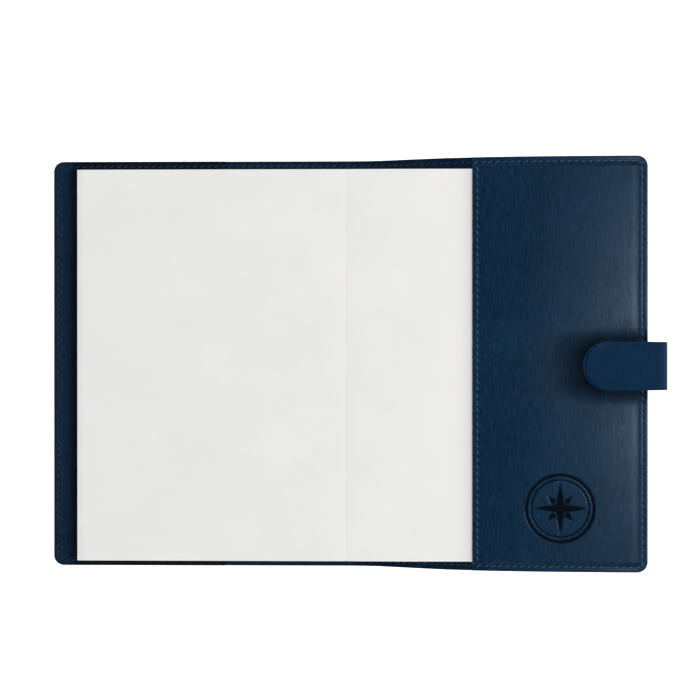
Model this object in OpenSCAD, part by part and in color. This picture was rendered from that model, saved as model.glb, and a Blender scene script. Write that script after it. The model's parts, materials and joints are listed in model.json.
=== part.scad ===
// Pilot logbook, lying open on a table: a leather folio cover with a front and a
// back pocket, a closing strap, and a sewn book insert whose two cards slip into
// the pockets. X runs from the front cover to the strap, Y towards the head of
// the page, Z up. The origin is under the middle of the open book.

/* [Cover] */
// Height of the cover along its spine
cover_h = 221; // [216:1:230]
// Front cover, from its fold to the fore edge
front_w = 151; // [150:0.5:156]
// Spine, between the two folds
spine_w = 22.5; // [22.5:0.1:25]
// Soft part of the back cover, from the fold to the pocket's mouth
hinge_w = 58; // [54:0.5:62]
// Stiff part of the back cover, from the pocket's mouth to the fore edge
panel_w = 92.6; // [91:0.1:96]
// Radius of the cover's four corners
corner_r = 5.5; // [3:0.5:7]
// Thickness of the outer leather
leather_t = 1.2; // [1:0.1:1.4]
// Thickness of the stiff board
board_t = 1.2; // [1:0.1:1.4]
// Thickness of the lining
lining_t = 0.8; // [0.6:0.1:1]
// Margin between the board and the cover's edge
board_inset = 6; // [5:0.5:8]

/* [Lie when open] */
// Rise of the soft part of the back cover
arch_deg = 20; // [18:0.5:22]
// Rise of the back panel
panel_deg = 4; // [3:0.5:5]

/* [Pockets] */
// Width of the front pocket
front_pocket_w = 93.8; // [80:0.5:96]
// Height of the slot for a card
slot_h = 1.2; // [1.1:0.1:1.4]
// Thickness of the pocket's leather
pocket_t = 0.8; // [0.7:0.1:1]
// Sewn border around the slots
border_w = 5; // [4.5:0.1:6]

/* [Insert] */
// Width of a page
page_w = 144.3; // [140:0.1:145]
// Height of a page
page_h = 210; // [200:1:210]
// How far the insert lies towards the tail of the cover
insert_drop = 0.7; // [0:0.1:0.8]
// Number of folded sections in the block
section_count = 12; // [12:1:12]
// Thickness of one section
section_t = 1.37; // [1.3:0.01:1.37]
// Thickness of the insert's card
card_t = 0.6; // [0.5:0.05:0.6]
// Number of loose leaves on top of the block
leaf_count = 3; // [3:1:3]
// Thickness of one leaf
leaf_t = 0.15; // [0.1:0.01:0.15]

/* [Strap] */
// Width of the closing strap
strap_w = 26.5; // [22:0.5:30]
// Thickness of one of the strap's two plies
ply_t = 1.1; // [1:0.1:1.2]
// Length sewn under the back cover
strap_root_l = 34; // [26:1:40]
// How far the strap's bend stands out from the fore edge
strap_out = 10.5; // [9:0.5:12]
// Length of the tab's upper ply, from its pivot to its tip
tab_l = 33.9; // [30:0.1:36]

/* [Stitching] */
// Distance from an edge to its seam
seam_inset = 2.8; // [2:0.1:3.2]
// Width of the thread
thread_w = 0.6; // [0.4:0.1:0.8]
// How far the thread stands proud
thread_t = 0.15; // [0.1:0.05:0.2]

/* [Pressed emblem] */
// Outer diameter of the compass rose
emblem_d = 37; // [30:1:40]
// Depth of the pressing
emblem_depth = 0.25; // [0.1:0.05:0.4]

/* [Hidden] */
$fn = 64;
eps = 0.01;
cover_t = leather_t + board_t + lining_t;
half_h = cover_h / 2;

// Clearances: at a fold, at the convex bend by the pocket's mouth, between
// layers that move on each other, and round a card in its slot.
fold_gap = 0.15;
bend_gap = 0.6;
layer_gap = 0.3;
card_gap = 0.3;

// Folds of the cover, measured from the gutter between the two open pages.
gutter_to_fold = 10.3;
fold_a_x = -gutter_to_fold;
fold_b_x = fold_a_x + spine_w;
bend_x = fold_b_x + hinge_w * cos(arch_deg);
bend_z = cover_t + hinge_w * sin(arch_deg);

// The gutter's place, with the origin under the middle of the open book.
left_x = fold_a_x - front_w;
right_x = bend_x + (panel_w + strap_out) * cos(panel_deg);
gutter_x = -(left_x + right_x) / 2;

// Block of sections, lying on the front pocket, with a round back.
pocket_top = cover_t + slot_h + pocket_t;
endpaper_t = 0.2;
block_z = pocket_top + 2 * endpaper_t;
block_t = section_count * section_t;
block_r = block_t / 2;
block_mid_z = block_z + block_r;
block_back_x = -0.9;
block_round_x = block_back_x - block_r;
block_left_x = block_back_x - page_w;
thread_ring_t = 0.3;
spine_card_in = block_r + thread_ring_t;
spine_card_out = spine_card_in + 0.4;
spine_card_up_deg = 40;

// Insert's travel in the front pocket while the cover closes.
slide_travel = 11.2;
front_slot_l = front_w - border_w;
card_left_x = left_x + border_w + slide_travel + 0.5;

// Leaves and the page that goes into the back pocket.
leaf_pitch = 0.2;
leaf_z = block_z + block_t + 0.06;
leaf_hinge_x = -0.6;
page_hinge_x = 0.4;
page_hinge_z = leaf_z + leaf_count * leaf_pitch + 0.3;
page_end_x = bend_x - 0.5;
page_rise_deg = atan((bend_z + 0.4 - page_hinge_z) / (page_end_x - page_hinge_x));

// Back pocket's slot and the card in it.
back_slot_l = panel_w - border_w + 0.4;
back_card_l = back_slot_l - 0.8;
slot_play = 1;
raised_r = 2;
slot_half_h = page_h / 2 + slot_play;

// Strap: the root lies under the cover, the riser stands beside the fore edge,
// the neck turns back and the tab rests on the pocket.
strap_t = 2 * ply_t;
strap_y = -1;
riser_u = panel_w + strap_out - strap_t;
tab_w0 = slot_h + pocket_t + layer_gap;
neck_l = 6.9;
tab_u = riser_u - neck_l;
magnet_r = 6;
magnet_t = 0.8;
magnet_back = 12;
keeper_r = 7;
keeper_t = 0.6;
strap_reach = strap_out - strap_t + tab_w0 + cover_t + neck_l + tab_l - magnet_back;
closed_t = 2 * cover_t + spine_w;
keeper_u = front_w - (strap_reach - closed_t);

function section_name(i) = str("section_", i < 10 ? "0" : "", i);

// Frames. In each, u runs away from the fold and w = 0 is the cover's inner face.
module front_frame() {
    translate([gutter_x + fold_a_x, 0, cover_t]) mirror([1, 0, 0]) children();
}
module spine_frame() {
    translate([gutter_x + fold_a_x, 0, cover_t]) children();
}
module hinge_frame() {
    translate([gutter_x + fold_b_x, 0, cover_t]) rotate([0, -arch_deg, 0]) children();
}
module panel_frame() {
    translate([gutter_x + bend_x, 0, bend_z]) rotate([0, -panel_deg, 0]) children();
}
module insert_frame() {
    translate([gutter_x, -insert_drop, 0]) children();
}

// A flat layer from u0 to u1, w0 to w1.
module layer(u0, u1, w0, w1, h = cover_h) {
    translate([u0, -h / 2, w0]) cube([u1 - u0, h, w1 - w0]);
}

// A flat layer whose two far corners are round.
module round_layer(u0, u1, w0, w1, h = cover_h, r = corner_r) {
    translate([0, 0, w0]) linear_extrude(w1 - w0) union() {
        translate([u0, -h / 2]) square([u1 - u0 - r, h]);
        translate([u1 - 2 * r, -h / 2 + r]) square([2 * r, h - 2 * r]);
        for (side = [-1, 1]) translate([u1 - r, side * (h / 2 - r)]) circle(r);
    }
}

// Leather, board and lining of a stiff cover half, which the lining closes in.
module stiff_leather(l, gap) {
    round_layer(gap, l, -cover_t, -cover_t + leather_t);
}
module stiff_board(l, gap) {
    layer(gap + board_inset, l - board_inset, -cover_t + leather_t, -lining_t,
          cover_h - 2 * board_inset);
}
module stiff_lining(l, gap) {
    difference() {
        round_layer(gap, l, -cover_t + leather_t, 0);
        layer(gap + board_inset, l - board_inset, -cover_t + leather_t - eps, -lining_t,
              cover_h - 2 * board_inset);
    }
}

// A pocket: a flat sewn border, a raised middle and a slot open at the mouth.
module pocket(mouth_u, l, slot_end) {
    difference() {
        union() {
            round_layer(mouth_u, l, 0, pocket_t);
            round_layer(mouth_u, slot_end + pocket_t, pocket_t, slot_h + pocket_t,
                        2 * (slot_half_h + pocket_t), raised_r);
        }
        layer(mouth_u - 1, slot_end, -eps, slot_h, 2 * slot_half_h);
    }
}

// Seam round three sides of a cover half, as one flat thread on level w.
module edge_seam(u0, l, w) {
    outer_r = max(corner_r - seam_inset, 1);
    difference() {
        round_layer(u0, l - seam_inset, w, w + thread_t, cover_h - 2 * seam_inset, outer_r);
        round_layer(u0 - 1, l - seam_inset - thread_w, w - 1, w + 1,
                    cover_h - 2 * (seam_inset + thread_w), outer_r - thread_w);
    }
}

// Two straight seams along the head and the tail.
module head_tail_seams(u0, u1, w) {
    for (side = [-1, 1])
        translate([u0, side * (half_h - seam_inset - thread_w / 2) - thread_w / 2, w])
            cube([u1 - u0, thread_w, thread_t]);
}

// Seam along a pocket's mouth, across the raised middle.
module mouth_seam(mouth_u) {
    layer(mouth_u + seam_inset, mouth_u + seam_inset + thread_w,
          slot_h + pocket_t, slot_h + pocket_t + thread_t, 2 * slot_half_h);
}

// Front cover

module front_cover_leather() {
    color("midnightblue") front_frame() stiff_leather(front_w, fold_gap);
}

module front_cover_board() {
    color("tan") front_frame() difference() {
        stiff_board(front_w, fold_gap);
        translate([keeper_u, strap_y, -cover_t + leather_t - eps])
            cylinder(r = keeper_r, h = keeper_t + eps);
    }
}

module front_lining() {
    color("darkslateblue") front_frame() stiff_lining(front_w, fold_gap);
}

module front_pocket() {
    color("midnightblue") front_frame()
        pocket(front_w - front_pocket_w, front_w, front_slot_l);
}

module front_stitching() {
    mouth_u = front_w - front_pocket_w;
    color("steelblue") front_frame() {
        edge_seam(mouth_u, front_w, pocket_t);
        head_tail_seams(fold_gap, mouth_u, 0);
    }
}

module front_pocket_mouth_stitching() {
    color("steelblue") front_frame() mouth_seam(front_w - front_pocket_w);
}

module keeper_plate() {
    color("silver") front_frame() translate([keeper_u, strap_y, -cover_t + leather_t])
        cylinder(r = keeper_r, h = keeper_t);
}

// Spine

module spine_leather() {
    color("midnightblue") spine_frame()
        layer(fold_gap, spine_w - fold_gap, -cover_t, -cover_t + leather_t);
}

module spine_board() {
    color("tan") spine_frame()
        layer(fold_gap + 3, spine_w - fold_gap - 3, -cover_t + leather_t, -lining_t,
              cover_h - 2 * board_inset);
}

module spine_lining() {
    color("darkslateblue") spine_frame() difference() {
        layer(fold_gap, spine_w - fold_gap, -cover_t + leather_t, 0);
        layer(fold_gap + 3, spine_w - fold_gap - 3, -cover_t + leather_t - eps, -lining_t,
              cover_h - 2 * board_inset);
    }
}

module spine_stitching() {
    color("steelblue") spine_frame() head_tail_seams(fold_gap, spine_w - fold_gap, 0);
}

// Soft part of the back cover

module back_hinge_leather() {
    color("midnightblue") hinge_frame()
        layer(fold_gap, hinge_w - bend_gap, -cover_t, -cover_t + leather_t);
}

module back_hinge_lining() {
    color("darkslateblue") hinge_frame()
        layer(fold_gap, hinge_w - bend_gap, -cover_t + leather_t, 0);
}

module back_hinge_stitching() {
    color("steelblue") hinge_frame() head_tail_seams(fold_gap, hinge_w - bend_gap, 0);
}

// Back panel

module back_cover_leather() {
    color("midnightblue") panel_frame() stiff_leather(panel_w, bend_gap);
}

module back_cover_board() {
    color("tan") panel_frame() stiff_board(panel_w, bend_gap);
}

module back_lining() {
    color("darkslateblue") panel_frame() stiff_lining(panel_w, bend_gap);
}

module ring2d(outer_r, width) {
    difference() {
        circle(outer_r);
        circle(outer_r - width);
    }
}

// Four-pointed star: tips at tip_r, waists at waist_r between them.
module star2d(tip_r, waist_r, turn) {
    polygon([for (i = [0:7]) let (r = i % 2 == 0 ? tip_r : waist_r, a = 45 * i + turn)
        [r * cos(a), r * sin(a)]]);
}

module compass_rose() {
    ring2d(emblem_d / 2, 1.2);
    ring2d(emblem_d * 0.41, 0.6);
    star2d(emblem_d * 0.38, emblem_d * 0.08, 0);
    star2d(emblem_d * 0.26, emblem_d * 0.11, 45);
}

module back_pocket() {
    emblem_u = 46.4;
    emblem_y = -76.6;
    top = slot_h + pocket_t;
    color("midnightblue") panel_frame() difference() {
        pocket(0, panel_w, back_slot_l);
        translate([emblem_u, emblem_y, top - emblem_depth])
            linear_extrude(emblem_depth + eps) compass_rose();
    }
}

module back_stitching() {
    color("steelblue") panel_frame() edge_seam(0, panel_w, pocket_t);
}

module back_pocket_mouth_stitching() {
    color("steelblue") panel_frame() mouth_seam(0);
}

module insert_back_card() {
    color("white") panel_frame() translate([0, -insert_drop, 0])
        layer(card_gap, back_card_l, card_gap, card_gap + card_t, page_h);
}

// Closing strap

module strap_root() {
    color("darkslateblue") panel_frame() translate([0, strap_y, 0])
        layer(panel_w - strap_root_l, riser_u - fold_gap, -cover_t - strap_t, -cover_t, strap_w);
}

module strap_root_stitching() {
    u0 = panel_w - strap_root_l + 2;
    u1 = panel_w - 4;
    color("steelblue") panel_frame() translate([0, strap_y, 0]) difference() {
        layer(u0, u1, -cover_t - strap_t - thread_t, -cover_t - strap_t, strap_w - 4);
        layer(u0 + thread_w, u1 - thread_w, -cover_t - strap_t - 1, -cover_t,
              strap_w - 4 - 2 * thread_w);
    }
}

module strap_riser() {
    color("darkslateblue") panel_frame() translate([0, strap_y, 0])
        layer(riser_u, riser_u + strap_t, -cover_t + fold_gap, tab_w0 - fold_gap, strap_w);
}

module strap_neck() {
    color("darkslateblue") panel_frame() translate([0, strap_y, 0])
        layer(tab_u + fold_gap, riser_u - fold_gap, tab_w0, tab_w0 + strap_t, strap_w);
}

// One ply of the tab, with a half-round tip and a recess for the magnet.
module tab_ply(l, w0, recess_w0) {
    r = strap_w / 2;
    magnet_u = tab_u - tab_l + magnet_back;
    panel_frame() translate([0, strap_y, 0]) difference() {
        translate([0, 0, w0]) linear_extrude(ply_t) union() {
            translate([tab_u - l + r, -r]) square([l - r - fold_gap, strap_w]);
            translate([tab_u - l + r, 0]) circle(r);
        }
        translate([magnet_u, 0, recess_w0]) cylinder(r = magnet_r, h = magnet_t / 2 + eps);
    }
}

module strap_tab_outer() {
    color("darkslateblue") tab_ply(tab_l, tab_w0 + ply_t, tab_w0 + ply_t - eps);
}

module strap_tab_inner() {
    color("midnightblue") tab_ply(tab_l + 1.9, tab_w0, tab_w0 + ply_t - magnet_t / 2);
}

module strap_magnet() {
    color("silver") panel_frame()
        translate([tab_u - tab_l + magnet_back, strap_y, tab_w0 + ply_t - magnet_t / 2])
            cylinder(r = magnet_r, h = magnet_t);
}

// Insert

// The front card lies in its slot and steps up beside the pocket's mouth to
// meet the block.
module insert_front_card() {
    low = cover_t + card_gap;
    high = block_z - endpaper_t - card_t;
    step_x = left_x + front_pocket_w + slide_travel + 1.5;
    step_l = 10;
    color("white") insert_frame() rotate([90, 0, 0])
        linear_extrude(page_h, center = true) polygon([
            [card_left_x, low], [step_x, low], [step_x + step_l, high],
            [block_round_x, high], [block_round_x, high + card_t],
            [step_x + step_l, high + card_t], [step_x, low + card_t],
            [card_left_x, low + card_t]]);
}

// Part of a ring round the block's back, from straight down to up_deg.
module back_ring(inner, outer, up_deg, h) {
    translate([block_round_x, 0, block_mid_z]) rotate([90, 0, 0])
        linear_extrude(h, center = true) intersection() {
            difference() {
                circle(outer);
                circle(inner);
            }
            polygon([[0, 0], [0, -2 * outer], [2 * outer, -2 * outer],
                     [2 * outer, 2 * outer * tan(up_deg)]]);
        }
}

module insert_spine_card() {
    color("white") insert_frame()
        back_ring(spine_card_in, spine_card_out, spine_card_up_deg, page_h);
}

module front_endpaper() {
    color("ivory") insert_frame() translate([block_left_x, -page_h / 2, block_z - endpaper_t])
        cube([block_round_x - block_left_x, page_h, endpaper_t]);
}

module sewing_thread() {
    station_pitch = 36;
    color("beige") insert_frame() for (i = [-2.5:2.5]) translate([0, i * station_pitch, 0])
        back_ring(block_r, block_r + thread_ring_t, spine_card_up_deg, 0.8);
}

module section(i) {
    color("whitesmoke") insert_frame() intersection() {
        translate([block_left_x, -page_h / 2, block_z + (i - 1) * section_t])
            cube([page_w, page_h, section_t]);
        union() {
            translate([block_left_x, -page_h / 2, block_z])
                cube([page_w - block_r, page_h, block_t]);
            translate([block_round_x, 0, block_mid_z]) rotate([90, 0, 0])
                cylinder(r = block_r, h = page_h, center = true);
        }
    }
}

// Leaf 1 is the top one.
module leaf(i) {
    color("white") insert_frame()
        translate([block_left_x, -page_h / 2, leaf_z + (leaf_count - i) * leaf_pitch])
            cube([leaf_hinge_x - block_left_x, page_h, leaf_t]);
}

module back_endpaper() {
    color("white") insert_frame() translate([page_hinge_x, 0, page_hinge_z])
        rotate([0, -page_rise_deg, 0])
            layer(0, (page_end_x - page_hinge_x) / cos(page_rise_deg),
                  -endpaper_t / 2, endpaper_t / 2, page_h);
}

front_cover_leather();
front_cover_board();
front_lining();
front_pocket();
front_stitching();
front_pocket_mouth_stitching();
keeper_plate();
spine_leather();
spine_board();
spine_lining();
spine_stitching();
back_hinge_leather();
back_hinge_lining();
back_hinge_stitching();
back_cover_leather();
back_cover_board();
back_lining();
back_pocket();
back_stitching();
back_pocket_mouth_stitching();
insert_back_card();
strap_root();
strap_root_stitching();
strap_riser();
strap_neck();
strap_tab_outer();
strap_tab_inner();
strap_magnet();
insert_front_card();
insert_spine_card();
front_endpaper();
sewing_thread();
for (i = [1:section_count]) section(i);
for (i = [1:leaf_count]) leaf(i);
back_endpaper();
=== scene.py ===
import bpy
import bmesh
import json
import math
from mathutils import Matrix, Vector


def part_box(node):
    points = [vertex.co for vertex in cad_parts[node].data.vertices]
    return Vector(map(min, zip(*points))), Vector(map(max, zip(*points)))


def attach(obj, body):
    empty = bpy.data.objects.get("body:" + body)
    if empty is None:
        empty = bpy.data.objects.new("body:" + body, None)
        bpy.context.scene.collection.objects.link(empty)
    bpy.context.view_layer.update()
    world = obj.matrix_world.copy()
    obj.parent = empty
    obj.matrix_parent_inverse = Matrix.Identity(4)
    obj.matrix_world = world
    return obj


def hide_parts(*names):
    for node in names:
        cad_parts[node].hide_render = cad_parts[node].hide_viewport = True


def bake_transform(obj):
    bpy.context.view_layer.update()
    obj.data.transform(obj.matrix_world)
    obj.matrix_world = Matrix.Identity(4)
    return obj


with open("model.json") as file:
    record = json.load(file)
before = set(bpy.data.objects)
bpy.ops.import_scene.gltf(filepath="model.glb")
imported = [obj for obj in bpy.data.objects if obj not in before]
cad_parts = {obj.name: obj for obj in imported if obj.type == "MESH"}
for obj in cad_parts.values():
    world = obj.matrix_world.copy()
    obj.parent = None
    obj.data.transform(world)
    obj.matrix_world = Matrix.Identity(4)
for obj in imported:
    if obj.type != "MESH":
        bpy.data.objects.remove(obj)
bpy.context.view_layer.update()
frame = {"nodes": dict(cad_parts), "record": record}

# ---------------------------------------------------------------- sizes, in metres
MM = 0.001
JOINTS = {j["name"]: j for j in frame["record"]["behaviour"]["joints"]}


def joint_at(name):
    return Vector(JOINTS[name]["pos_m"])


FOLD_A = joint_at("cover_close")
FOLD_B = joint_at("back_hinge_fold")
BEND_C = joint_at("back_panel_flatten")

COVER_T = FOLD_A.z
LEATHER_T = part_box("front_cover_leather")[1][2]
LINING_TOP = 0.0
LEFT_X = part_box("front_cover_leather")[0][0]
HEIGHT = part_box("front_cover_leather")[1][1] * 2
PAGE_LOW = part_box("leaf_1")[0][1]
PAGE_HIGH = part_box("leaf_1")[1][1]
CORNER_R = 5.5 * MM
POCKET_T = 0.8 * MM
SLOT_H = 1.2 * MM
BOARD_T = 1.2 * MM

# Lengths along the cover, from its left edge.
U_A = FOLD_A.x - LEFT_X
U_B = U_A + (FOLD_B.x - FOLD_A.x)
U_C = U_B + (BEND_C - FOLD_B).length
PANEL_L = 92.6 * MM
U_END = U_C + PANEL_L
FRONT_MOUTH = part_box("front_pocket")[1][0] - LEFT_X

SEAM_INSET = 2.8 * MM
STITCH_PITCH = 3.8 * MM
STITCH_L = 2.8 * MM
STITCH_W = 0.62 * MM
STITCH_H = 0.4 * MM
STITCH_SLANT = math.radians(20)
SEAM_DENT = 0.22 * MM
SEAM_DENT_W = 0.75 * MM


# ---------------------------------------------------------------- the lie of the cover
def smooth(t):
    t = min(1.0, max(0.0, t))
    return t * t * (3 - 2 * t)


# The cover's slope at some lengths along it, in degrees: flat under the block,
# then an arch over to the fore edge.
SLOPES = [
    (U_B - 14 * MM, 0.0),
    (U_B + 14 * MM, 22.0),
    (U_B + 34 * MM, 20.5),
    (U_C - 8 * MM, 13.0),
    (U_C + 14 * MM, 7.2),
    (U_C + 50 * MM, 3.4),
    (U_END, 0.2),
]


def slope(u):
    if u <= SLOPES[0][0]:
        return 0.0
    for (u0, a0), (u1, a1) in zip(SLOPES, SLOPES[1:]):
        if u <= u1:
            return math.radians(a0 + (a1 - a0) * smooth((u - u0) / (u1 - u0)))
    return math.radians(SLOPES[-1][1])


PATH_STEP = 0.25 * MM


def walk_cover():
    points = [(LEFT_X, COVER_T, 0.0)]
    for i in range(int(U_END / PATH_STEP) + 8):
        a = slope((i + 0.5) * PATH_STEP)
        x, z, _ = points[-1]
        points.append((x + PATH_STEP * math.cos(a), z + PATH_STEP * math.sin(a), a))
    return points


COVER_PATH = walk_cover()


def on_cover(u, w):
    """Where a point at length u and height w over the cover's inner face lies."""
    k = min(max(u / PATH_STEP, 0.0), len(COVER_PATH) - 2.0)
    i = int(k)
    f = k - i
    x0, z0, a0 = COVER_PATH[i]
    x1, z1, a1 = COVER_PATH[i + 1]
    if u < 0:
        x0, f = LEFT_X + u, 0.0
    a = a0 + (a1 - a0) * f
    return Vector((x0 + (x1 - x0) * f - w * math.sin(a), 0, z0 + (z1 - z0) * f + w * math.cos(a)))


def lay_on_cover(bm):
    """Turns a piece modelled flat, at (length, across, height), to lie on the cover."""
    for v in bm.verts:
        p = on_cover(v.co.x, v.co.z)
        v.co = Vector((p.x, v.co.y, p.z))


# ---------------------------------------------------------------- mesh helpers
def finish_mesh(name, bm, material, smooth_deg=40):
    mesh = bpy.data.meshes.new(name)
    bm.normal_update()
    bm.to_mesh(mesh)
    bm.free()
    for poly in mesh.polygons:
        poly.use_smooth = True
    mesh.set_sharp_from_angle(angle=math.radians(smooth_deg))
    obj = bpy.data.objects.new(name, mesh)
    bpy.context.scene.collection.objects.link(obj)
    mesh.materials.append(material)
    return obj


def lines(a, b, step, fine=()):
    """Grid lines from a to b, at most step apart, with the extra ones in fine."""
    found = {round(a, 7), round(b, 7)}
    found |= {round(p, 7) for p in fine if a < p < b}
    marks = sorted(found)
    out = []
    for p, q in zip(marks, marks[1:]):
        n = max(1, math.ceil((q - p) / step))
        out += [p + (q - p) * i / n for i in range(n)]
    return out + [marks[-1]]


# Distances of the extra grid lines from a sewn edge, in mm: close at the seam and at the roll.
EDGE_STEPS = [
    0.3, 0.8, 1.4, 1.9, 2.3, 2.8, 3.3, 3.7, 4.1, 4.6,
    5.1, 5.6, 6.2, 6.9, 7.6, 8.4, 9.3, 10.4, 12.0, 14.0,
]


def near(edge, side):
    """Grid lines close to a sewn edge, on its inner side."""
    return [edge + side * d * MM for d in EDGE_STEPS]


def grid_sheet(us, vs):
    """A flat sheet of quads with its lines at us and vs."""
    bm = bmesh.new()
    bmesh.ops.create_grid(bm, x_segments=len(us) - 1, y_segments=len(vs) - 1, size=1)
    for v in bm.verts:
        i = round((v.co.x + 1) / 2 * (len(us) - 1))
        j = round((v.co.y + 1) / 2 * (len(vs) - 1))
        v.co = Vector((us[i], vs[j], 0))
    return bm


def round_corner(u, v):
    """Draws the cover's square corners in to its rounded outline."""
    cu = min(max(u, CORNER_R), U_END - CORNER_R)
    cv = min(max(v, -HEIGHT / 2 + CORNER_R), HEIGHT / 2 - CORNER_R)
    a, b = u - cu, v - cv
    if a == 0 or b == 0:
        return u, v
    k = max(abs(a), abs(b)) / math.hypot(a, b)
    return cu + a * k, cv + b * k


def edge_distance(u, v, sides):
    """Distance to the nearest of the sewn edges named in sides, round the corners."""
    du = min(u if "left" in sides else 1.0, U_END - u if "right" in sides else 1.0)
    dv = HEIGHT / 2 - abs(v)
    if du < CORNER_R and dv < CORNER_R:
        return CORNER_R - math.hypot(CORNER_R - du, CORNER_R - dv)
    return min(du, dv)


def groove(d, depth=SEAM_DENT):
    """The dent that a seam pulls into the leather, at distance d from the edge."""
    return -depth * math.exp(-(((d - SEAM_INSET) / SEAM_DENT_W) ** 2))


def thicken(bm, base, depth):
    """Gives a sheet its wall: all of it moves by base, and its second face by depth more."""
    result = bmesh.ops.extrude_face_region(bm, geom=bm.faces[:])
    second = [g for g in result["geom"] if isinstance(g, bmesh.types.BMVert)]
    bmesh.ops.translate(bm, verts=bm.verts, vec=(0, 0, base))
    bmesh.ops.translate(bm, verts=second, vec=(0, 0, depth))
    bmesh.ops.recalc_face_normals(bm, faces=bm.faces[:])


def bevel_rim(bm, thickness, cuts, offset):
    """Rounds a layer's rim, but not its upright edges or the ends at cuts."""
    rim = []
    for e in bm.edges:
        if len(e.link_faces) != 2 or e.calc_face_angle() < math.radians(60):
            continue
        mid = (e.verts[0].co + e.verts[1].co) / 2
        upright = abs(e.verts[0].co.z - e.verts[1].co.z) > thickness * 0.5
        if not upright and not any(abs(mid.x - c) < 0.02 * MM for c in cuts):
            rim.append(e)
    bmesh.ops.bevel(
        bm, geom=rim, offset=offset, offset_type="OFFSET", segments=3, profile=0.5,
        affect="EDGES", clamp_overlap=True, material=-1,
    )


def cover_sheet(name, us, vs, surface, thickness, material,
                cut_us=(), bevel=0.3 * MM, down=False, marks=None):
    """A layer of the cover. surface(u, v) is the height of its shown face, and its
    thickness is behind that. cut_us are the ends where the next piece carries on.
    marks(u, v) says how dark the leather is painted there, from 0 to 1: burnt emblem and painted shade."""
    bm = grid_sheet(us, vs)
    darkening = bm.verts.layers.float.new("darkening")
    for v in bm.verts:
        w = surface(v.co.x, v.co.y)
        v[darkening] = marks(v.co.x, v.co.y) if marks else 0.0
        u, y = round_corner(v.co.x, v.co.y)
        v.co = Vector((u, y, w))
    thicken(bm, 0.0, thickness if down else -thickness)
    bevel_rim(bm, thickness, cut_us, bevel)
    lay_on_cover(bm)
    return finish_mesh(name, bm, material)


# ---------------------------------------------------------------- material helpers
def linear(r, g, b):
    def one(c):
        c /= 255
        return c / 12.92 if c <= 0.04045 else ((c + 0.055) / 1.055) ** 2.4
    return (one(r), one(g), one(b), 1.0)


def new_group(name, inputs, outputs):
    group = bpy.data.node_groups.new(name, "ShaderNodeTree")
    for label, kind, value in inputs:
        socket = group.interface.new_socket(label, in_out="INPUT", socket_type=kind)
        socket.default_value = value
    for label, kind in outputs:
        group.interface.new_socket(label, in_out="OUTPUT", socket_type=kind)
    return group, group.nodes.new("NodeGroupInput"), group.nodes.new("NodeGroupOutput")


def math_node(tree, operation, a, b=None, clamp=False):
    node = tree.nodes.new("ShaderNodeMath")
    node.operation = operation
    node.use_clamp = clamp
    for socket, value in zip(node.inputs, (a, b)):
        if value is None:
            continue
        if isinstance(value, (int, float)):
            socket.default_value = value
        else:
            tree.links.new(value, socket)
    return node.outputs[0]


def mix_colour(tree, factor, a, b):
    node = tree.nodes.new("ShaderNodeMix")
    node.data_type = "RGBA"
    for socket, value in ((node.inputs[0], factor), (node.inputs[6], a), (node.inputs[7], b)):
        if isinstance(value, (int, float, tuple)):
            socket.default_value = value
        else:
            tree.links.new(value, socket)
    return node.outputs[2]


def noise(tree, coords, scale, detail=3.0, rough=0.55):
    node = tree.nodes.new("ShaderNodeTexNoise")
    node.inputs["Scale"].default_value = scale
    node.inputs["Detail"].default_value = detail
    node.inputs["Roughness"].default_value = rough
    tree.links.new(coords, node.inputs["Vector"])
    return node.outputs["Fac"]


def stretched(tree, coords, scale):
    node = tree.nodes.new("ShaderNodeMapping")
    node.inputs["Scale"].default_value = scale
    tree.links.new(coords, node.inputs["Vector"])
    return node.outputs["Vector"]


def remap(tree, value, a, b, c, d):
    node = tree.nodes.new("ShaderNodeMapRange")
    tree.links.new(value, node.inputs["Value"])
    for label, number in (("From Min", a), ("From Max", b), ("To Min", c), ("To Max", d)):
        node.inputs[label].default_value = number
    return node.outputs["Result"]


def make_grain_group():
    """Fine leather grain: small pebbles, drawn-out creases and soft cloudy tone."""
    group, start, end = new_group(
        "leather_grain",
        [("Coordinates", "NodeSocketVector", (0, 0, 0)), ("Crease", "NodeSocketFloat", 0.5)],
        [("Height", "NodeSocketFloat"), ("Tone", "NodeSocketFloat"), ("Wear", "NodeSocketFloat")],
    )
    coords = start.outputs["Coordinates"]
    pebble = group.nodes.new("ShaderNodeTexVoronoi")
    pebble.feature = "SMOOTH_F1"
    pebble.inputs["Scale"].default_value = 1500
    pebble.inputs["Smoothness"].default_value = 0.5
    group.links.new(coords, pebble.inputs["Vector"])
    pebbles = remap(group, pebble.outputs["Distance"], 0.0, 0.8, 1.0, 0.0)
    streaks = noise(group, stretched(group, coords, (1300, 170, 600)), 1.0, 4.0, 0.65)
    creases = noise(group, stretched(group, coords, (230, 42, 120)), 1.0, 3.0, 0.5)
    clouds = noise(group, coords, 28, 3.0, 0.5)
    strength = start.outputs["Crease"]
    height = math_node(group, "MULTIPLY", pebbles, 0.35)
    streak_part = math_node(group, "MULTIPLY", streaks, strength)
    height = math_node(group, "ADD", height, streak_part)
    crease_part = math_node(group, "MULTIPLY", creases, strength)
    height = math_node(group, "ADD", height, crease_part)
    group.links.new(height, end.inputs["Height"])
    tone = math_node(group, "MULTIPLY", streaks, 0.75)
    tone = math_node(group, "ADD", tone, math_node(group, "MULTIPLY", clouds, 0.25))
    group.links.new(remap(group, tone, 0.38, 0.62, 0.0, 1.0), end.inputs["Tone"])
    geometry = group.nodes.new("ShaderNodeNewGeometry")
    wear = remap(group, geometry.outputs["Pointiness"], 0.52, 0.62, 0.0, 1.0)
    group.links.new(wear, end.inputs["Wear"])
    return group


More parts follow.
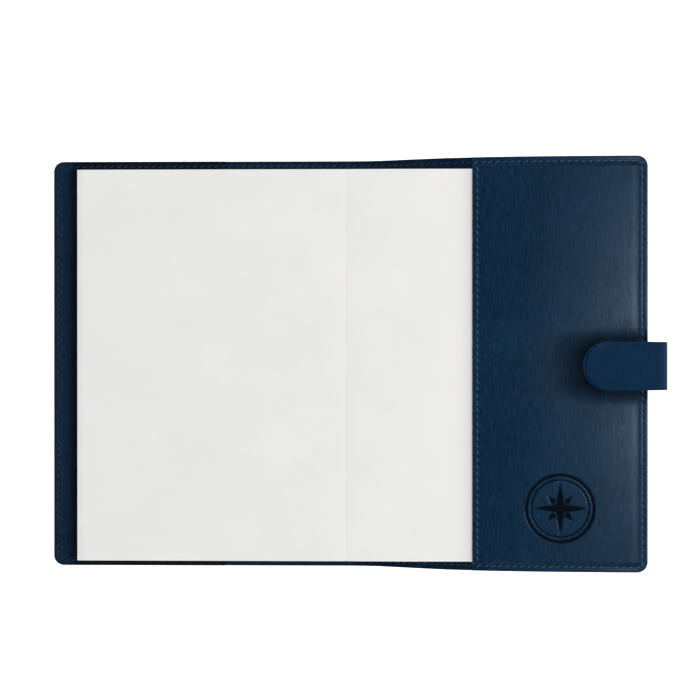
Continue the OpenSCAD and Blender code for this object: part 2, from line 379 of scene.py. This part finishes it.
def make_fibre_group():
    """Paper: fine fibres and a very soft mottle."""
    group, start, end = new_group(
        "paper_fibre",
        [("Coordinates", "NodeSocketVector", (0, 0, 0))],
        [("Height", "NodeSocketFloat"), ("Mottle", "NodeSocketFloat")],
    )
    coords = start.outputs["Coordinates"]
    fibres = noise(group, stretched(group, coords, (1400, 500, 900)), 1.0, 4.0, 0.6)
    group.links.new(fibres, end.inputs["Height"])
    group.links.new(noise(group, coords, 35, 4.0, 0.6), end.inputs["Mottle"])
    return group


GRAIN = make_grain_group()
FIBRE = make_fibre_group()


def new_material(name):
    mat = bpy.data.materials.new(name)
    mat.use_nodes = True
    tree = mat.node_tree
    shader = tree.nodes["Principled BSDF"]
    coords = tree.nodes.new("ShaderNodeTexCoord").outputs["Object"]
    return mat, tree, shader, coords


def bump(tree, shader, height, strength, distance):
    node = tree.nodes.new("ShaderNodeBump")
    node.inputs["Strength"].default_value = strength
    node.inputs["Distance"].default_value = distance
    tree.links.new(height, node.inputs["Height"])
    tree.links.new(node.outputs["Normal"], shader.inputs["Normal"])


# The dark that the burnt emblem and the painted shade take the leather to.
BURNT_AND_SHADE = linear(4, 9, 17)


def leather(name, dark, light, crease, rough=(0.25, 0.32), grain_depth=0.06 * MM, gloss=0.34):
    mat, tree, shader, coords = new_material(name)
    grain = tree.nodes.new("ShaderNodeGroup")
    grain.node_tree = GRAIN
    grain.inputs["Crease"].default_value = crease
    tree.links.new(coords, grain.inputs["Coordinates"])
    body = mix_colour(tree, grain.outputs["Tone"], dark, light)
    worn = tuple(min(1.0, c * 1.8 + 0.01) for c in light[:3]) + (1.0,)
    wear = math_node(tree, "MULTIPLY", grain.outputs["Wear"], 0.35)
    body = mix_colour(tree, wear, body, worn)
    # The darkening attribute holds the burnt emblem and painted shade; it also makes those places matt.
    marks = tree.nodes.new("ShaderNodeAttribute")
    marks.attribute_name = "darkening"
    body = mix_colour(tree, marks.outputs["Fac"], body, BURNT_AND_SHADE)
    tree.links.new(body, shader.inputs["Base Color"])
    roughness = remap(tree, grain.outputs["Tone"], 0.0, 1.0, rough[1], rough[0])
    matt = math_node(tree, "MULTIPLY", marks.outputs["Fac"], 0.7)
    tree.links.new(math_node(tree, "ADD", roughness, matt, clamp=True), shader.inputs["Roughness"])
    shader.inputs["Specular IOR Level"].default_value = gloss
    shader.inputs["Specular Tint"].default_value = (0.72, 0.88, 1.0, 1)
    bump(tree, shader, grain.outputs["Height"], 0.14, grain_depth)
    return mat


def paper(name, low, high, striped=False):
    mat, tree, shader, coords = new_material(name)
    fibre = tree.nodes.new("ShaderNodeGroup")
    fibre.node_tree = FIBRE
    tree.links.new(coords, fibre.inputs["Coordinates"])
    colour = mix_colour(tree, fibre.outputs["Mottle"], low, high)
    height = fibre.outputs["Height"]
    if striped:
        sheets = noise(tree, stretched(tree, coords, (12, 12, 9000)), 1.0, 2.0, 0.6)
        facing = tree.nodes.new("ShaderNodeSeparateXYZ")
        tree.links.new(tree.nodes.new("ShaderNodeTexCoord").outputs["Normal"], facing.inputs[0])
        flat = math_node(tree, "GREATER_THAN", math_node(tree, "ABSOLUTE", facing.outputs["Z"]), 0.9)
        shade = math_node(tree, "MAXIMUM", remap(tree, sheets, 0.35, 0.65, 0.0, 1.0), flat)
        edge = tuple(c * 0.72 for c in low[:3]) + (1.0,)
        colour = mix_colour(tree, shade, edge, colour)
        height = shade
    tree.links.new(colour, shader.inputs["Base Color"])
    tree.links.new(remap(tree, fibre.outputs["Mottle"], 0.2, 0.8, 0.62, 0.72), shader.inputs["Roughness"])
    shader.inputs["Specular IOR Level"].default_value = 0.25
    bump(tree, shader, height, 0.25, 0.02 * MM)
    return mat


def thread(name, dark, light):
    mat, tree, shader, coords = new_material(name)
    wave = tree.nodes.new("ShaderNodeTexWave")
    wave.bands_direction = "DIAGONAL"
    wave.inputs["Scale"].default_value = 700
    wave.inputs["Distortion"].default_value = 1.5
    tree.links.new(coords, wave.inputs["Vector"])
    tree.links.new(mix_colour(tree, wave.outputs["Fac"], dark, light), shader.inputs["Base Color"])
    tree.links.new(remap(tree, wave.outputs["Fac"], 0.0, 1.0, 0.6, 0.45), shader.inputs["Roughness"])
    bump(tree, shader, wave.outputs["Fac"], 0.5, 0.05 * MM)
    return mat


def cardboard(name, low, high):
    mat, tree, shader, coords = new_material(name)
    specks = noise(tree, coords, 900, 5.0, 0.7)
    tree.links.new(mix_colour(tree, specks, low, high), shader.inputs["Base Color"])
    tree.links.new(remap(tree, specks, 0.2, 0.8, 0.75, 0.9), shader.inputs["Roughness"])
    bump(tree, shader, specks, 0.3, 0.04 * MM)
    return mat


def steel(name):
    mat, tree, shader, coords = new_material(name)
    brushed = noise(tree, stretched(tree, coords, (200, 4000, 200)), 1.0, 3.0, 0.6)
    tree.links.new(
        mix_colour(tree, brushed, (0.45, 0.45, 0.47, 1), (0.62, 0.62, 0.64, 1)), shader.inputs["Base Color"]
    )
    tree.links.new(remap(tree, brushed, 0.2, 0.8, 0.28, 0.45), shader.inputs["Roughness"])
    shader.inputs["Metallic"].default_value = 1.0
    return mat


NAVY = leather("navy_leather", linear(4, 31, 54), linear(20, 51, 78), 0.7)
NAVY_STRAP = leather("strap_leather", linear(9, 39, 66), linear(14, 45, 74), 0.15,
                     (0.55, 0.62), 0.03 * MM, 0.12)
NAVY_LINING = leather("navy_lining", linear(8, 25, 42), linear(15, 36, 56), 0.3,
                      (0.55, 0.65), 0.06 * MM, 0.12)
NAVY_THREAD = thread("navy_thread", linear(36, 66, 98), linear(76, 108, 140))
# A darker copy of the navy thread: painted shade for the stitches away from the light.
SHADED_THREAD = thread("shaded_navy_thread", linear(20, 40, 60), linear(42, 66, 92))
PLAIN_THREAD = thread("undyed_thread", linear(200, 190, 165), linear(232, 225, 205))
WHITE_PAPER = paper("page_paper", linear(240, 240, 238), linear(250, 249, 248))
PAGE_EDGES = paper("page_edges", linear(232, 231, 227), linear(246, 245, 242), striped=True)
WHITE_CARD = paper("card", linear(236, 235, 231), linear(246, 245, 242))
GREY_BOARD = cardboard("grey_board", linear(140, 128, 108), linear(184, 170, 148))
STEEL = steel("plain_steel")


# ---------------------------------------------------------------- cover layers
HALF = HEIGHT / 2
ACROSS = lines(-HALF, HALF, 6 * MM, near(-HALF, 1) + near(HALF, -1))
MID_SPINE = (U_A + U_B) / 2
MID_HINGE = (U_B + U_C) / 2
SPANS = [
    ("front", 0.0, MID_SPINE, ("front_cover", "spine"), U_A, 9 * MM),
    ("middle", MID_SPINE, MID_HINGE, ("spine", "back_hinge"), U_B, 9 * MM),
    ("back", MID_HINGE, U_END, ("back_hinge", "back_cover"), U_C, 14 * MM),
]


def span_lines(u0, u1, step):
    fine = (near(0.0, 1) if u0 == 0 else []) + (near(U_END, -1) if u1 == U_END else [])
    return lines(u0, u1, step, fine)


def outer_face(u, v):
    return -COVER_T - groove(edge_distance(u, v, ("left", "right")), 0.3 * MM)


def lining_face(u, v):
    return LINING_TOP + groove(edge_distance(u, v, ("left", "right")))


def bend_across(piece, bodies, u, reach):
    start = on_cover(u - reach, 0)
    end = on_cover(u + reach, 0)
    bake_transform(piece)


def make_cover_layers():
    leather_nodes = {"front": ["front_cover_leather"], "middle": ["spine_leather"],
                     "back": ["back_hinge_leather", "back_cover_leather"]}
    lining_nodes = {"front": ["front_lining"], "middle": ["spine_lining"],
                    "back": ["back_hinge_lining", "back_lining"]}
    for name, u0, u1, bodies, joint_u, reach in SPANS:
        us = span_lines(u0, u1, 2.5 * MM)
        cuts = [c for c in (u0, u1) if c not in (0.0, U_END)]
        outside = cover_sheet(f"outer_leather_{name}", us, ACROSS, outer_face, LEATHER_T, NAVY,
                              cuts, 0.35 * MM, down=True)
        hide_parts(*leather_nodes[name])
        bend_across(outside, bodies, joint_u, reach)
        inside = cover_sheet(f"lining_{name}", us, ACROSS, lining_face, COVER_T - LEATHER_T - 0.02 * MM,
                             NAVY_LINING, cuts, 0.25 * MM)
        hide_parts(*lining_nodes[name])
        bend_across(inside, bodies, joint_u, reach)


# ---------------------------------------------------------------- pockets and emblem
EMBLEM_R = 18.5 * MM
EMBLEM_U = U_C + 46.4 * MM
EMBLEM_V = -76.6 * MM
PRESS_DEPTH = 0.42 * MM
PRESS_EDGE = 0.28 * MM
ROLL_L = {"left": 1.8 * MM, "right": 5.5 * MM}


def star_inside(x, y, points, tip, waist, turn):
    """Depth inside a star's outline, in metres: positive inside."""
    r = math.hypot(x, y)
    half = math.pi / points
    a = abs((math.atan2(y, x) - turn + half) % (2 * half) - half)
    px, py = r * math.cos(a), r * math.sin(a)
    wx, wy = waist * math.cos(half), waist * math.sin(half)
    dx, dy = wx - tip, wy
    length = math.hypot(dx, dy)
    return (dy * (tip - px) + dx * py) / length


def rose_inside(x, y):
    """Depth inside the compass rose: two rings, a long star and a short star."""
    r = math.hypot(x, y)
    depth = 0.75 * MM - abs(r - (EMBLEM_R - 0.75 * MM))
    depth = max(depth, 0.35 * MM - abs(r - 0.82 * EMBLEM_R))
    long_star = star_inside(x, y, 4, 0.76 * EMBLEM_R, 0.17 * EMBLEM_R, 0.0)
    short_star = star_inside(x, y, 4, 0.5 * EMBLEM_R, 0.19 * EMBLEM_R, math.pi / 4)
    short_star = min(short_star, -long_star - 0.5 * MM)
    return max(depth, long_star, short_star)


def pressed(u, v):
    x, y = u - EMBLEM_U, v - EMBLEM_V
    if max(abs(x), abs(y)) > EMBLEM_R + MM:
        return 0.0
    return -PRESS_DEPTH * smooth(rose_inside(x, y) / PRESS_EDGE + 0.5)


def pocket_face(side):
    """Height of a pocket's outer face: sewn down at the edge, up over the card."""
    def height(u, v):
        seam = groove(edge_distance(u, v, (side,))) + mouth_dent(side, u)
        du = U_END - u if side == "right" else u
        dv = HALF - abs(v)
        roll = min(1.0, max(0.0, (du - 3.7 * MM) / ROLL_L[side]))
        rise = SLOT_H * smooth((dv - 3.4 * MM) / (1.7 * MM)) * (1 - (1 - roll) ** 2)
        emblem = pressed(u, v) if side == "right" else 0.0
        return POCKET_T + rise + seam + emblem
    return height


def pocket_emblem_and_shade(u, v):
    """The pressed emblem is burnt dark. The rest is painted shade: darker beside and left of the tab for its
    shadow, and in the crease round the raised middle.
    """
    emblem = -pressed(u, v) / PRESS_DEPTH
    across = max(0.0, abs(v - STRAP_Y) - STRAP_W / 2 + 2 * MM)
    along = max(0.0, U_C + TAB_TIP_U + 6 * MM - u)
    # painted shadow of the tab on the pocket
    tab_shadow = 0.97 * math.exp(-((math.hypot(across / (6 * MM), along / (22 * MM))) ** 2))
    return max(0.95 * emblem, tab_shadow, crease_shade(u, v))


def front_block_shadow(u, v):
    """Painted shade on the front pocket: a little all over, and dark towards the block, for the block's
    shadow.
    """
    return 0.27 + 0.63 * smooth((u - 6 * MM) / (6 * MM))


def crease_shade(u, v):
    """Painted shade in the crease round a pocket's raised middle."""
    off = edge_distance(u, v, ("left", "right")) - 4.3 * MM
    return 0.4 * math.exp(-((off / (0.6 * MM)) ** 2))


def mouth_dent(side, u):
    mouth = U_C if side == "right" else FRONT_MOUTH
    d = abs(u - mouth)
    return groove(d, 0.16 * MM)


def emblem_lines(centre):
    pitch = 0.36 * MM
    n = int(2 * (EMBLEM_R + 0.6 * MM) / pitch)
    return [centre - EMBLEM_R - 0.6 * MM + pitch * i for i in range(n + 1)]


def make_pockets():
    us = lines(0.0, FRONT_MOUTH, 3 * MM, near(0.0, 1) + near(FRONT_MOUTH, -1))
    face = pocket_face("left")
    piece = cover_sheet("front_pocket_panel", us, ACROSS, face, POCKET_T, NAVY, marks=front_block_shadow)
    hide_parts("front_pocket")
    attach(piece, "front_cover")
    us = lines(U_C, U_END, 3 * MM, near(U_C, 1) + near(U_END, -1) + emblem_lines(EMBLEM_U))
    vs = lines(-HALF, HALF, 6 * MM, near(-HALF, 1) + near(HALF, -1) + emblem_lines(EMBLEM_V))
    face = pocket_face("right")
    piece = cover_sheet("back_pocket_panel", us, vs, face, POCKET_T, NAVY, marks=pocket_emblem_and_shade)
    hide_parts("back_pocket")
    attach(piece, "back_cover")


def make_boards():
    inset = 6 * MM
    across = lines(-HALF + inset, HALF - inset, 30 * MM)
    spans = [("front_cover_board", inset, U_A - inset, "front_cover"),
             ("spine_board", U_A + 3 * MM, U_B - 3 * MM, "spine"),
             ("back_cover_board", U_C + inset, U_END - inset, "back_cover")]
    for node, u0, u1, body in spans:
        bm = grid_sheet(lines(u0, u1, 6 * MM), across)
        thicken(bm, -COVER_T + LEATHER_T + 0.1 * MM, BOARD_T - 0.2 * MM)
        lay_on_cover(bm)
        piece = finish_mesh(f"{node}_stiffener", bm, GREY_BOARD)
        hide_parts(node)
        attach(piece, body)


# ---------------------------------------------------------------- stitches
def stitch_points():
    """Every stitch of the cover's edge seam: (u, v, direction) at its middle."""
    s = SEAM_INSET
    r = CORNER_R - s
    straight_u = U_END - 2 * CORNER_R
    straight_v = HEIGHT - 2 * CORNER_R
    arc = math.pi / 2 * r
    right, top = U_END - CORNER_R, HALF - CORNER_R
    legs = [
        ("line", (CORNER_R, HALF - s), 0.0, straight_u),
        ("arc", (right, top), 90.0, arc),
        ("line", (U_END - s, top), -90.0, straight_v),
        ("arc", (right, -top), 0.0, arc),
        ("line", (right, -HALF + s), 180.0, straight_u),
        ("arc", (CORNER_R, -top), -90.0, arc),
        ("line", (s, -top), 90.0, straight_v),
        ("arc", (CORNER_R, top), 180.0, arc),
    ]
    total = sum(leg[3] for leg in legs)
    count = round(total / STITCH_PITCH)
    pitch = total / count
    out = []
    at, passed = 0, 0.0
    for i in range(count):
        t = i * pitch
        while t > passed + legs[at][3]:
            passed += legs[at][3]
            at += 1
        kind, (x, y), angle, _ = legs[at]
        t -= passed
        if kind == "line":
            a = math.radians(angle)
            out.append((x + t * math.cos(a), y + t * math.sin(a), a))
        else:
            a = math.radians(angle) - t / r
            out.append((x + r * math.cos(a), y + r * math.sin(a), a - math.pi / 2))
    return out


def add_stitch(bm, u, v, angle, w):
    shape = (
        Matrix.Translation((u, v, w))
        @ Matrix.Rotation(angle + STITCH_SLANT, 4, "Z")
        @ Matrix.Diagonal((STITCH_L / 2, STITCH_W / 2, STITCH_H / 2, 1))
        @ Matrix.Rotation(math.pi / 2, 4, "Y")
    )
    bmesh.ops.create_uvsphere(bm, u_segments=8, v_segments=6, radius=1, matrix=shape)


def stitch_piece(name, body, nodes, stitches, material=NAVY_THREAD):
    bm = bmesh.new()
    for u, v, angle, w in stitches:
        add_stitch(bm, u, v, angle, w)
    lay_on_cover(bm)
    piece = finish_mesh(name, bm, material, 180)
    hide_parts(*nodes)
    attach(piece, body)


def make_stitching():
    seam = stitch_points()
    zones = [("front", "front_cover", "front_stitching", 0.0, U_A),
             ("spine", "spine", "spine_stitching", U_A, U_B),
             ("back_hinge", "back_hinge", "back_hinge_stitching", U_B, U_C),
             ("back", "back_cover", "back_stitching", U_C, U_END)]
    proud = 0.06 * MM
    for name, body, node, u0, u1 in zones:
        found = []
        for u, v, angle in seam:
            if not u0 <= u < u1:
                continue
            pocket_here = u < FRONT_MOUTH or u > U_C
            top = POCKET_T if pocket_here else LINING_TOP
            found.append((u, v, angle, top - SEAM_DENT + proud))
            found.append((u, v, angle, -COVER_T + 0.3 * MM - proud))
        # The front, spine and hinge stitches take the painted-shade copy of the thread.
        colour = NAVY_THREAD if name == "back" else SHADED_THREAD
        stitch_piece(f"{name}_edge_stitches", body, [node], found, colour)
    for name, body, node, u in (
        ("front_mouth", "front_cover", "front_pocket_mouth_stitching", FRONT_MOUTH - SEAM_INSET),
        ("back_mouth", "back_cover", "back_pocket_mouth_stitching", U_C + SEAM_INSET),
    ):
        length = HEIGHT - 2 * SEAM_INSET - STITCH_PITCH
        count = round(length / STITCH_PITCH)
        face = pocket_face("left" if "front" in name else "right")
        found = []
        for i in range(count):
            v = -length / 2 + length * (i + 0.5) / count
            found.append((u, v, math.pi / 2, face(u, v) + proud))
        stitch_piece(f"{name}_stitches", body, [node], found)


# ---------------------------------------------------------------- strap
STRAP_Y = (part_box("strap_riser")[0][1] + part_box("strap_riser")[1][1]) / 2
STRAP_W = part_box("strap_riser")[1][1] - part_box("strap_riser")[0][1]
PLY_T = 1.1 * MM
STRAP_T = 2 * PLY_T
ROOT_L = 34 * MM
ROOT_W = -COVER_T - STRAP_T
TAB_W = POCKET_T + SLOT_H + 0.3 * MM
BEND_R = (TAB_W + STRAP_T - ROOT_W) / 2
BEND_W = (TAB_W + STRAP_T + ROOT_W) / 2
BEND_U = PANEL_L + 10.5 * MM - BEND_R
TAB_TIP_U = PANEL_L + 10.5 * MM - STRAP_T - 6.9 * MM - 33.9 * MM
MAGNET_BACK = 12 * MM
MAGNET_R = 5.8 * MM
PLY_GAP = 0.01 * MM
TIP_R = STRAP_W / 2
TIP_ANGLES = (6, 12, 20, 28, 36, 45, 54, 64, 75, 90)


def on_strap(s, h):
    """The strap's outer face runs along s from the root's end; h is the depth in from it."""
    root = ROOT_L + (BEND_U - PANEL_L)
    turn = math.pi * BEND_R
    if s <= root:
        u, w = PANEL_L - ROOT_L + s, ROOT_W + h
    elif s <= root + turn:
        a = -math.pi / 2 + (s - root) / BEND_R
        u, w = BEND_U + (BEND_R - h) * math.cos(a), BEND_W + (BEND_R - h) * math.sin(a)
    else:
        u, w = BEND_U - (s - root - turn), TAB_W + STRAP_T - h
    return u, w


def panel_point(u, w):
    """A point of the strap, beside or on the back panel."""
    if u <= PANEL_L:
        return on_cover(U_C + u, w)
    edge = on_cover(U_END, w)
    a = slope(U_END)
    return Vector((edge.x + (u - PANEL_L) * math.cos(a), 0, edge.z + (u - PANEL_L) * math.sin(a)))


def strap_width(s, total):
    """Half width: a shade narrower at the bend, and a round tip."""
    t = smooth((s - ROOT_L) / (total - ROOT_L))
    half = (STRAP_W / 2) * (0.955 + 0.045 * t)
    r = STRAP_W / 2
    to_tip = total - s
    if to_tip < r:
        half *= math.sqrt(max(0.0, 1 - ((r - to_tip) / r) ** 2)) if to_tip > 0 else 0.0
    return half


def strap_sheet(s0, s1, length, h0, cuts):
    """A stretch of one ply, from s0 to s1 along it. A ply of this length ends in the tip."""
    tips = []
    if s1 == length:
        tips = [length - TIP_R * (1 - math.cos(math.radians(a))) for a in TIP_ANGLES]
    us = lines(s0, s1, 1.1 * MM, tips)
    if s1 == length:
        us[-1] = length - TIP_R * (1 - math.cos(math.radians(3)))
    bm = grid_sheet(us, lines(-1.0, 1.0, 0.2, (-0.97, 0.97)))
    for v in bm.verts:
        v.co.y = v.co.y * strap_width(v.co.x, length) + STRAP_Y
    thicken(bm, h0 + PLY_GAP, PLY_T - 2 * PLY_GAP)
    bevel_rim(bm, PLY_T, cuts, 0.32 * MM)
    for v in bm.verts:
        u, w = on_strap(v.co.x, v.co.z)
        p = panel_point(u, w)
        v.co = Vector((p.x, v.co.y, p.z))
    bmesh.ops.recalc_face_normals(bm, faces=bm.faces[:])
    return bm


def make_strap():
    root = ROOT_L + (BEND_U - PANEL_L)
    turn = math.pi * BEND_R
    total = root + turn + (BEND_U - TAB_TIP_U)
    riser_mid = root + turn * 0.5
    neck_mid = root + turn + 0.6 * MM
    near_joint = 0.5 * MM
    spans = [
        ("root", 0.0, riser_mid, ("back_cover", "strap_riser"), root - 3 * MM, riser_mid - near_joint),
        ("bend", riser_mid, neck_mid, ("strap_riser", "strap_neck"),
         riser_mid + near_joint, neck_mid - near_joint),
        ("tab", neck_mid, total, ("strap_neck", "strap_tab"), neck_mid + near_joint, neck_mid + 8 * MM),
    ]
    nodes = {("root", 0): ["strap_root"], ("bend", 0): ["strap_riser", "strap_neck"],
             ("tab", 0): ["strap_tab_outer"], ("tab", 1): ["strap_tab_inner"]}
    for ply, (h0, extra) in enumerate(((0.0, 0.0), (PLY_T, 1.9 * MM))):
        for name, s0, s1, bodies, b0, b1 in spans:
            end = s1 + (extra if name == "tab" else 0.0)
            bm = strap_sheet(s0, end, total + extra, h0, (riser_mid, neck_mid))
            piece = finish_mesh(f"strap_{name}_{'upper' if ply == 0 else 'lower'}_ply", bm, NAVY_STRAP)
            if (name, ply) in nodes:
                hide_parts(*nodes[(name, ply)])
            start, stop = (panel_point(*on_strap(b, PLY_T)) for b in (b0, b1))
            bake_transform(piece)


def make_magnet():
    bm = bmesh.new()
    half = 0.38 * MM
    bmesh.ops.create_cone(
        bm, cap_ends=True, segments=48, radius1=MAGNET_R, radius2=MAGNET_R, depth=2 * half
    )
    for v in bm.verts:
        p = panel_point(TAB_TIP_U + MAGNET_BACK + v.co.x, TAB_W + PLY_T + v.co.z)
        v.co = Vector((p.x, v.co.y + STRAP_Y, p.z))
    piece = finish_mesh("tab_magnet_disc", bm, STEEL)
    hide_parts("strap_magnet")
    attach(piece, "strap_tab")


def make_root_stitches():
    bm = bmesh.new()
    u0, u1 = U_C + PANEL_L - ROOT_L + 2.4 * MM, U_END - 4 * MM
    half = STRAP_W / 2 - 2.3 * MM
    w = ROOT_W - 0.02 * MM
    corners = [(u0, -half), (u1, -half), (u1, half), (u0, half)]
    for (x0, y0), (x1, y1) in zip(corners, corners[1:] + corners[:1]):
        length = math.hypot(x1 - x0, y1 - y0)
        count = round(length / STITCH_PITCH)
        angle = math.atan2(y1 - y0, x1 - x0)
        for i in range(count):
            t = (i + 0.5) / count
            add_stitch(bm, x0 + (x1 - x0) * t, STRAP_Y + y0 + (y1 - y0) * t, angle, w)
    lay_on_cover(bm)
    piece = finish_mesh("strap_root_stitches", bm, NAVY_THREAD, 180)
    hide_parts("strap_root_stitching")
    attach(piece, "back_cover")


# ---------------------------------------------------------------- pages
SHEET_T = 0.11 * MM
GUTTER_DROP = 0.35 * MM
SHOULDER = 9 * MM
# Distances of the extra grid lines from the gutter, in mm.
GUTTER_STEPS = (0.3, 0.6, 1.0, 1.5, 2.1, 2.8, 3.6, 4.5, 6, 8, 11)


def sheet_between(name, x0, x1, height, thickness, material, step=4 * MM, fine=()):
    bm = grid_sheet(lines(x0, x1, step, fine), lines(PAGE_LOW, PAGE_HIGH, 14 * MM))
    for v in bm.verts:
        v.co.z = height(v.co.x, v.co.y)
    thicken(bm, 0.0, -thickness)
    return finish_mesh(name, bm, material)


def make_leaves():
    hinge = joint_at("leaf_1_turn")
    for i in (1, 2, 3):
        low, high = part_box(f"leaf_{i}")
        top = high[2]
        right = hinge.x - 0.02 * MM

        def height(x, y, top=top, right=right):
            fall = max(0.0, 1 - (right - x) / SHOULDER)
            return top - GUTTER_DROP * fall ** 2.2

        fine = [right - d * MM for d in GUTTER_STEPS]
        left = low[0] + (3 - i) * 1.2 * MM
        piece = sheet_between(f"page_leaf_{i}", left, right, height, SHEET_T, WHITE_PAPER, fine=fine)
        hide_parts(f"leaf_{i}")
        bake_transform(piece)


def make_right_page():
    x0 = joint_at("leaf_1_turn").x + 0.02 * MM
    tucked = U_C + 0.8 * MM
    x1 = on_cover(tucked, 0).x
    z0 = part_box("leaf_1")[1][2] - 0.15 * MM
    z1 = on_cover(U_C, 0.75 * MM).z
    z_in = on_cover(tucked, 0.75 * MM).z

    def height(x, y):
        t = (x - x0) / (x1 - x0)
        base = z0 + (z1 - z0) * smooth(t)
        lift = 0.5 * MM * math.sin(math.pi * min(1.0, t * 1.15)) if t < 0.87 else 0.0
        over = max(0.0, x - on_cover(U_C, 0).x) / (x1 - on_cover(U_C, 0).x)
        fall = max(0.0, 1 - (x - x0) / (SHOULDER * 0.8))
        return base + lift + (z_in - z1) * over - 0.5 * GUTTER_DROP * fall ** 2.6

    fine = [x0 + d * MM for d in GUTTER_STEPS]
    piece = sheet_between("right_hand_page", x0, x1, height, 0.2 * MM, WHITE_PAPER, fine=fine, step=3 * MM)
    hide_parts("back_endpaper")
    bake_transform(piece)


def make_back_card():
    us = lines(U_C + 0.4 * MM, U_C + 85.5 * MM, 6 * MM)
    bm = grid_sheet(us, lines(PAGE_LOW, PAGE_HIGH, 20 * MM))
    thicken(bm, 0.2 * MM, 0.45 * MM)
    lay_on_cover(bm)
    piece = finish_mesh("back_card_in_pocket", bm, WHITE_CARD)
    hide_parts("insert_back_card")
    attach(piece, "back_cover")


def dress_cad_nodes():
    """Gives the CAD pieces that stay shown their materials."""
    finishes = [("section_", PAGE_EDGES), ("front_endpaper", WHITE_PAPER), ("insert_front_card", WHITE_CARD),
                ("insert_spine_card", WHITE_CARD), ("sewing_thread", PLAIN_THREAD), ("keeper_plate", STEEL)]
    for node, obj in frame["nodes"].items():
        for start, material in finishes:
            if node.startswith(start):
                obj.data.materials.clear()
                obj.data.materials.append(material)


# ---------------------------------------------------------------- camera, floor, light
TARGET = Vector((joint_at("leaf_1_turn").x + 1.5 * MM, 7.4 * MM, 0))
CAMERA_DISTANCE = 1.0
CAMERA_OFFSET = (0.027, 0.002)
LENS = 93.9


def make_camera():
    data = bpy.data.cameras.new("camera")
    data.lens = LENS
    data.sensor_width = 36
    data.clip_start = 0.05
    camera = bpy.data.objects.new("camera", data)
    camera.location = TARGET + Vector((*CAMERA_OFFSET, CAMERA_DISTANCE))
    aim = (TARGET - camera.location).normalized()
    right = Vector((1, 0, 0))
    right = (right - aim * right.dot(aim)).normalized()
    up = right.cross(aim)
    turn = Matrix((right, up, -aim)).transposed().to_4x4()
    camera.matrix_world = Matrix.Translation(camera.location) @ turn
    bpy.context.scene.collection.objects.link(camera)
    bpy.context.scene.camera = camera


def make_floor():
    bm = bmesh.new()
    bmesh.ops.create_grid(bm, x_segments=1, y_segments=1, size=3)
    mat = bpy.data.materials.new("white_floor")
    mat.use_nodes = True
    shader = mat.node_tree.nodes["Principled BSDF"]
    shader.inputs["Base Color"].default_value = (0.9, 0.9, 0.9, 1)
    shader.inputs["Roughness"].default_value = 0.9
    shader.inputs["Specular IOR Level"].default_value = 0.0
    shader.inputs["Emission Color"].default_value = (1, 1, 1, 1)
    shader.inputs["Emission Strength"].default_value = 0.85
    floor = finish_mesh("floor", bm, mat)


def add_light(name, place, aim, size, power, glossy=False):
    data = bpy.data.lights.new(name, "AREA")
    data.shape = "RECTANGLE"
    data.size, data.size_y = size
    data.energy = power
    light = bpy.data.objects.new(name, data)
    direction = Vector(aim) - Vector(place)
    light.matrix_world = Matrix.Translation(place) @ direction.to_track_quat("-Z", "Y").to_matrix().to_4x4()
    light.visible_glossy = glossy
    bpy.context.scene.collection.objects.link(light)


def make_lights():
    world = bpy.data.worlds.new("studio")
    bpy.context.scene.world = world
    world.use_nodes = True
    world.node_tree.nodes["Background"].inputs["Color"].default_value = (0.97, 0.98, 1.0, 1)
    world.node_tree.nodes["Background"].inputs["Strength"].default_value = 0.06
    add_light("sheen", (0.66, 0.0, 1.3), (0.1, 0, 0.03), (0.12, 0.9), 4.8, glossy=True)
    add_light("left", (-1.35, 0.1, 0.65), (0, 0, 0), (0.5, 1.2), 7.5)
    add_light("right", (1.5, 0.0, 0.8), (0, 0, 0), (0.5, 1.2), 7)
    add_light("head", (0.0, 1.35, 0.65), (0, 0, 0), (1.2, 0.5), 10.5)
    add_light("tail", (-0.1, -1.35, 0.65), (0, 0, 0), (1.2, 0.5), 10.5)
    add_light("low_right", (1.3, 0.0, 0.32), (0.1, 0, 0.03), (0.25, 0.25), 5)
    bpy.context.scene.view_settings.view_transform = "Standard"
    bpy.context.scene.view_settings.look = "None"


make_camera()
make_floor()
make_lights()
make_cover_layers()
make_pockets()
make_boards()
make_stitching()
make_strap()
make_magnet()
make_root_stitches()
make_leaves()
make_right_page()
make_back_card()
dress_cad_nodes()
